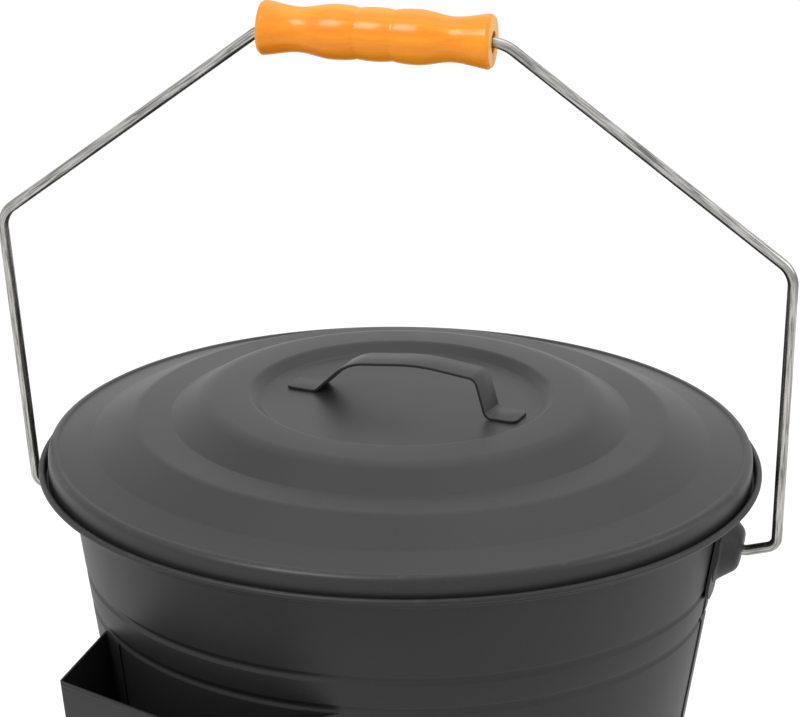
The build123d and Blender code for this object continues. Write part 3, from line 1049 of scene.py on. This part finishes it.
@dataclass
class Lid:
    """The lid, pressed in rings, with a bent strap handle in its dish.

    Each of steps has its way inwards, its way up and the round at its end, in millimetres. Each
    point of strap_line has its distance along the strap, its height over the dish and its round.
    """

    sheet: float = 0.6 * MM
    skirt_radius: float = 146.0 * MM
    seat_height: float = 266.0 * MM
    steps: tuple[tuple[float, float, float], ...] = (
        (0.0, 12.3, 3.0),
        (-3.6, 0.0, 1.0),
        (-0.6, -0.6, 1.0),
        (-13.8, 3.7, 5.0),
        (-17.8, 8.6, 7.0),
        (-15.2, 0.6, 1.2),
        (-14.2, 8.6, 16.0),
        (-18.3, 0.9, 3.0),
        (-5.0, -3.8, 3.0),
    )
    strap_width: float = 14.2 * MM
    strap_sheet: float = 1.2 * MM
    strap_turn_deg: float = -11.2
    strap_left_end: float = -49.3
    strap_line: tuple[tuple[float, float, float], ...] = (
        (-36.3, 1.2, 3.0),
        (-22.0, 15.3, 20.0),
        (10.0, 19.5, 60.0),
        (36.3, 17.2, 4.5),
        (41.2, 1.2, 2.5),
        (54.0, 1.2, 0.0),
    )
    strap_corner_round: float = 3.0 * MM
    strap_corner_steps: int = 6
    strap_edge_break: float = 0.22 * MM

    def outline(self) -> tuple[list[Point2], list[float]]:
        """Gives the lid's outside from the skirt's edge to the middle, and its rounds."""
        radius, height = self.skirt_radius, self.seat_height
        points, rounds = [(radius, height)], []
        for inwards, up, corner in self.steps:
            radius += inwards * MM
            height += up * MM
            points.append((radius, height))
            rounds.append(corner * MM)
        points.append((0.0, height))
        return points, rounds

    def dish_height(self) -> float:
        """Gives the height of the dish in the lid's middle."""
        return self.outline()[0][-1][1]

    def build_shell(self) -> BMesh:
        """Spins the pressing and gives it its thickness."""
        bm = bmesh.new()
        points, rounds = self.outline()
        round_corners(bm, chain(bm, points), rounds)
        spin_outline(bm)
        skirt_outwards(bm)
        bmesh.ops.solidify(bm, geom=bm.faces[:], thickness=self.sheet)
        return bm

    def build_strap(self) -> BMesh:
        """Bends the strap, rounds its feet and sets it in the dish, turned a little."""
        bm = bmesh.new()
        foot = self.strap_line[0][1] * MM
        points = [(self.strap_left_end * MM, foot)]
        points += [(x * MM, z * MM) for x, z, _ in self.strap_line]
        rounds = [corner * MM for _, _, corner in self.strap_line[:-1]]
        round_corners(bm, chain(bm, points), rounds)
        bmesh.ops.translate(bm, verts=bm.verts[:], vec=(0, -self.strap_width / 2, 0))
        wide = bmesh.ops.extrude_edge_only(bm, edges=bm.edges[:])["geom"]
        moved = [g for g in wide if isinstance(g, BMVert)]
        bmesh.ops.translate(bm, verts=moved, vec=(0, self.strap_width, 0))
        bmesh.ops.recalc_face_normals(bm, faces=bm.faces[:])
        bm.normal_update()
        face_away(bm, min(bm.faces, key=lambda f: f.calc_center_median().x), Vector((0, 0, 1)))
        bmesh.ops.solidify(bm, geom=bm.faces[:], thickness=self.strap_sheet)
        bm.normal_update()
        tips = [e for e in bm.edges if self.is_foot_corner(e)]
        bevel(bm, tips, self.strap_corner_round, self.strap_corner_steps, "EDGES")
        bm.normal_update()
        break_edges(bm, self.strap_edge_break)
        turn = Matrix.Rotation(math.radians(self.strap_turn_deg), 4, "Z")
        place = Matrix.Translation((0, 0, self.dish_height())) @ turn
        bmesh.ops.transform(bm, matrix=place, verts=bm.verts[:])
        return bm

    def is_foot_corner(self, edge: BMEdge) -> bool:
        """Tells whether an edge is an upright corner at the tip of a foot."""
        first, second = (v.co for v in edge.verts)
        upright = abs(first.z - second.z) > self.strap_sheet / 2
        reach = (self.strap_left_end * MM, self.strap_line[-1][0] * MM)
        at_tip = any(
            max(abs(first.x - x), abs(second.x - x)) < MERGE_DISTANCE for x in reach
        )
        return upright and at_tip

    def dress(self, paints: Paints) -> None:
        """Builds the shell and its strap."""
        shell = to_piece(self.build_shell(), "lid_pressing")
        settle(shell, Body.LID, paints.lid, ["lid_shell"])
        strap = to_piece(self.build_strap(), "lid_strap_handle")
        settle(strap, Body.LID, paints.lid, ["lid_handle"])


@dataclass(frozen=True)
class Softbox:
    """A square lamp that looks at the bucket."""

    name: str
    place: tuple[float, float, float]
    size: float
    watts: float
    aim_height: float = 0.25

    def build(self) -> None:
        """Builds the lamp."""
        data = bpy.data.lights.new(self.name, "AREA")
        data.shape = "SQUARE"
        data.size = self.size
        data.energy = self.watts
        lamp = bpy.data.objects.new(self.name, data)
        bpy.context.scene.collection.objects.link(lamp)
        lamp.location = self.place
        way = Vector((0, 0, self.aim_height)) - Vector(self.place)
        lamp.rotation_euler = way.to_track_quat("-Z", "Y").to_euler()
        lamp.visible_camera = False


@dataclass
class Studio:
    """The pale floor, the lamps and the white surroundings."""

    floor_half: float = 14.0
    floor_colour: Colour = (0.8, 0.8, 0.8)
    seen_floor_colour: Colour = (0.36, 0.36, 0.36)
    seen_floor_glow: float = 0.74
    room_colour: Colour = (1.0, 1.0, 1.0)
    room_light: float = 0.6
    room_seen: float = 1.0
    lamps: tuple[Softbox, ...] = (
        Softbox("overhead_softbox", (0.2, 0.5, 2.4), 2.2, 13.0),
        Softbox("right_softbox", (2.3, 0.2, 1.2), 1.4, 14.0),
        Softbox("front_softbox", (-0.55, -1.03, 1.72), 0.7, 16.0, 0.46),
    )

    def seen(self, board: NodeBoard) -> bpy.types.NodeSocket:
        """Adds the test for rays that see the room: from the camera, in gloss or through glass."""
        path = board.add("ShaderNodeLightPath").outputs
        seen = board.math("MAXIMUM", path["Is Camera Ray"], path["Is Glossy Ray"])
        return board.math("MAXIMUM", seen, path["Is Transmission Ray"])

    def build_floor(self) -> None:
        """Builds the floor, which looks white where no shadow falls on it."""
        bm = bmesh.new()
        bmesh.ops.create_grid(bm, x_segments=1, y_segments=1, size=self.floor_half)
        floor = to_piece(bm, "studio_floor", smooth=False)
        material = bpy.data.materials.new("studio_floor_paint")
        material.use_nodes = True
        material.node_tree.nodes.clear()
        board = NodeBoard(material.node_tree)
        colours = (self.floor_colour, self.seen_floor_colour)
        plain, soft = (
            board.add("ShaderNodeBsdfDiffuse", {"Color": opaque(colour)}).outputs[0]
            for colour in colours
        )
        glow = board.add("ShaderNodeEmission", {"Strength": self.seen_floor_glow}).outputs[0]
        lit = board.add("ShaderNodeAddShader", {0: soft, 1: glow}).outputs[0]
        mixed = board.add("ShaderNodeMixShader", {0: self.seen(board), 1: plain, 2: lit})
        board.add("ShaderNodeOutputMaterial", {"Surface": mixed.outputs[0]})
        paint(floor, material)

    def build_room(self) -> None:
        """Builds the even light of the room, which looks white."""
        world = bpy.data.worlds.new("white_room")
        bpy.context.scene.world = world
        world.use_nodes = True
        board = NodeBoard(world.node_tree)
        strength = board.spread(self.seen(board), 0.0, 1.0, self.room_light, self.room_seen)
        sky = world.node_tree.nodes["Background"]
        sky.inputs["Color"].default_value = opaque(self.room_colour)
        board.tree.links.new(strength, sky.inputs["Strength"])

    def build(self) -> None:
        """Builds the floor, the room and the lamps."""
        self.build_floor()
        self.build_room()
        for lamp in self.lamps:
            lamp.build()
        log.info("built the studio with %d lamps", len(self.lamps))


@dataclass
class StudioCamera:
    """The camera at the photograph's place."""

    distance: float = 1668.687 * MM
    azimuth_deg: float = 12.39
    elevation_deg: float = 19.694
    roll_deg: float = 0.399
    focal_px: float = 4047.9
    aim_right: float = -0.487 * MM
    aim_height: float = 314.476 * MM
    image_width_px: float = 800.0
    sensor_mm: float = 36.0
    near: float = 0.05
    far: float = 60.0

    def build(self) -> None:
        """Builds the camera and makes it the scene's own."""
        azimuth = math.radians(self.azimuth_deg)
        elevation = math.radians(self.elevation_deg)
        right = Vector((math.cos(azimuth), math.sin(azimuth), 0))
        level = Vector((math.sin(azimuth), -math.cos(azimuth), 0))
        back = level * math.cos(elevation) + Vector((0, 0, math.sin(elevation)))
        target = right * self.aim_right + Vector((0, 0, self.aim_height))
        upright = Matrix((right, back.cross(right), back)).transposed().to_4x4()
        roll = Matrix.Rotation(math.radians(self.roll_deg), 4, "Z")
        data = bpy.data.cameras.new("studio_camera")
        data.sensor_width = self.sensor_mm
        data.lens = self.focal_px * self.sensor_mm / self.image_width_px
        data.clip_start = self.near
        data.clip_end = self.far
        camera = bpy.data.objects.new("studio_camera", data)
        bpy.context.scene.collection.objects.link(camera)
        camera.matrix_world = Matrix.Translation(target + back * self.distance) @ upright @ roll
        bpy.context.scene.camera = camera
        log.info("placed the camera %.3f m away", self.distance)


def main() -> None:
    """Builds the studio and each sub-assembly in order."""
    logging.basicConfig(level=logging.INFO, format="%(name)s: %(message)s")
    bpy.context.scene.view_settings.view_transform = "Standard"
    StudioCamera().build()
    Studio().build()
    paints = Paints()
    for part in (BucketBody(), ShovelPocket(), Bail(), Lid()):
        part.dress(paints)


if __name__ == "__main__":
    main()
